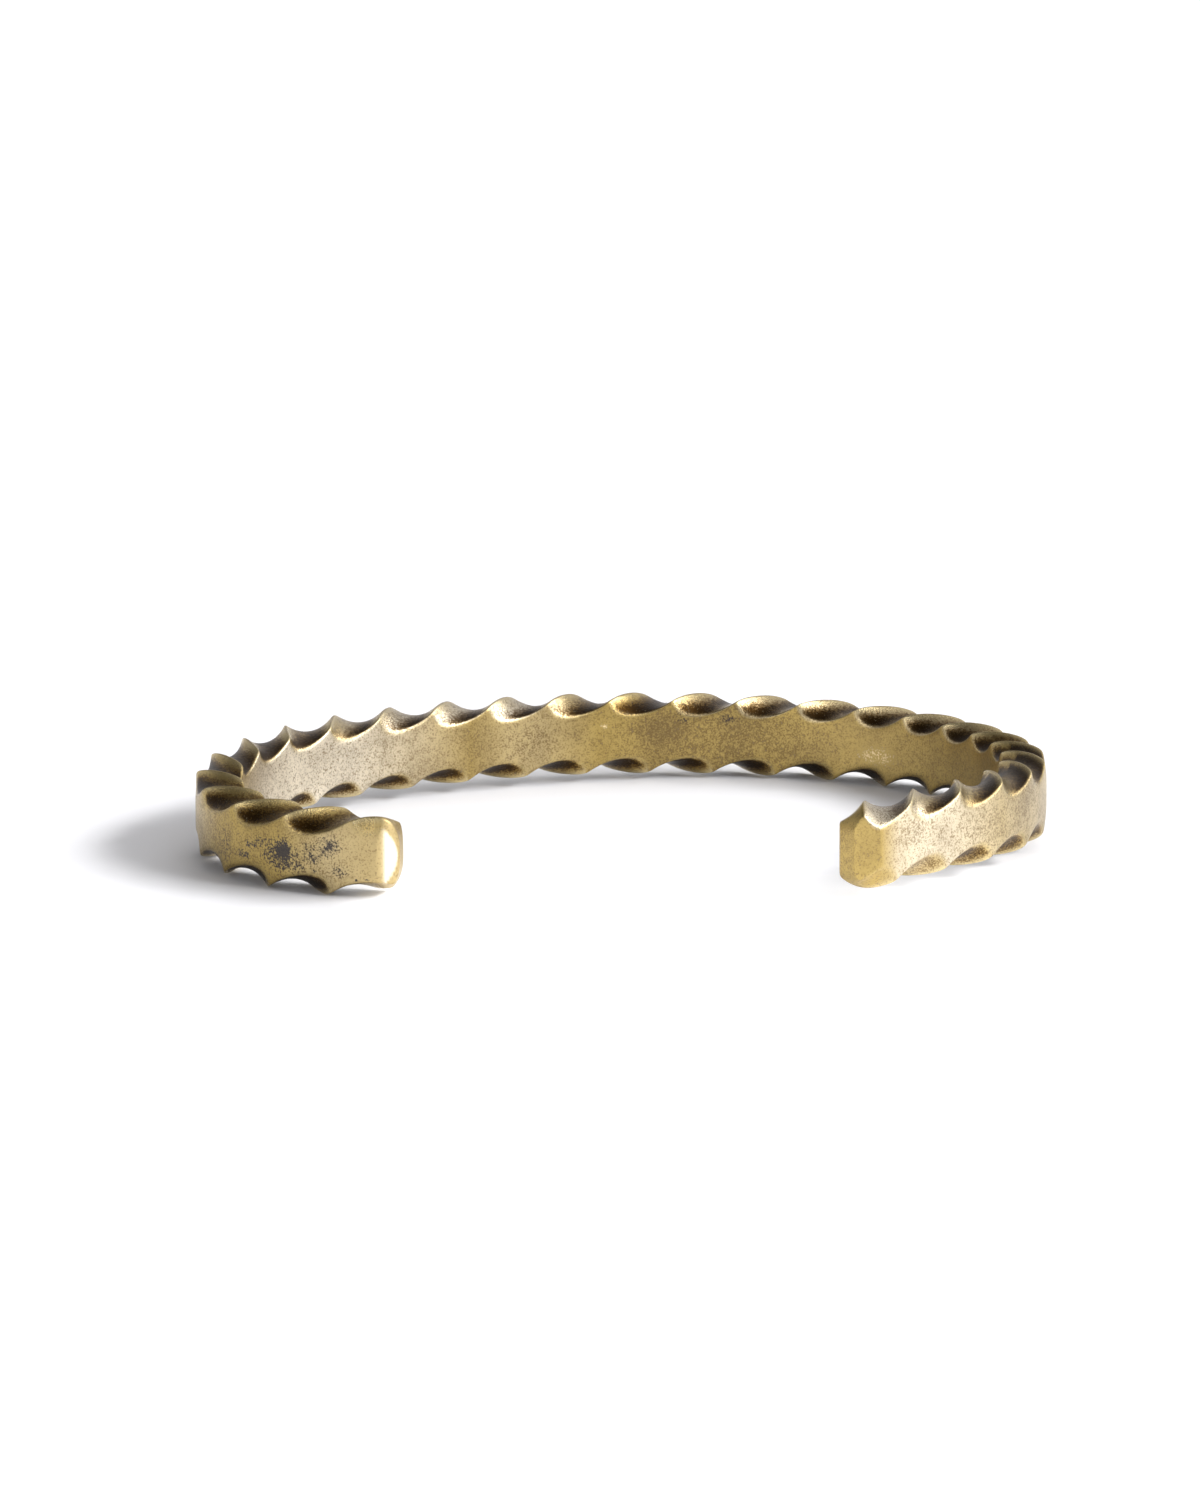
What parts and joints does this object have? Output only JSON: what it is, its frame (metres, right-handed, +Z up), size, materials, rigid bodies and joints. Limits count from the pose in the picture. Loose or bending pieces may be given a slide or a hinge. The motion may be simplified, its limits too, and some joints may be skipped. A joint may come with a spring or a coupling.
{
  "type": "bangle",
  "caption": "Open oval bangle of twisted square brass bar, ground flat on the wrist side and the outside, with plain bevelled tips and an antiqued finish.",
  "frame": {"origin": "centre of the bangle's box, on the surface that it rests on", "axes": "+X along the longest side, towards the right tip's arm; +Y from the gap between the tips to the back of the bangle; +Z up"},
  "size_m": [0.0658, 0.05, 0.0076],
  "materials": {
    "brass": "antiqued, dark in the hollows and rubbed bright on the ridges"
  },
  "bodies": {
    "root": {"cuff": "brass"}
  },
  "joints": []
}
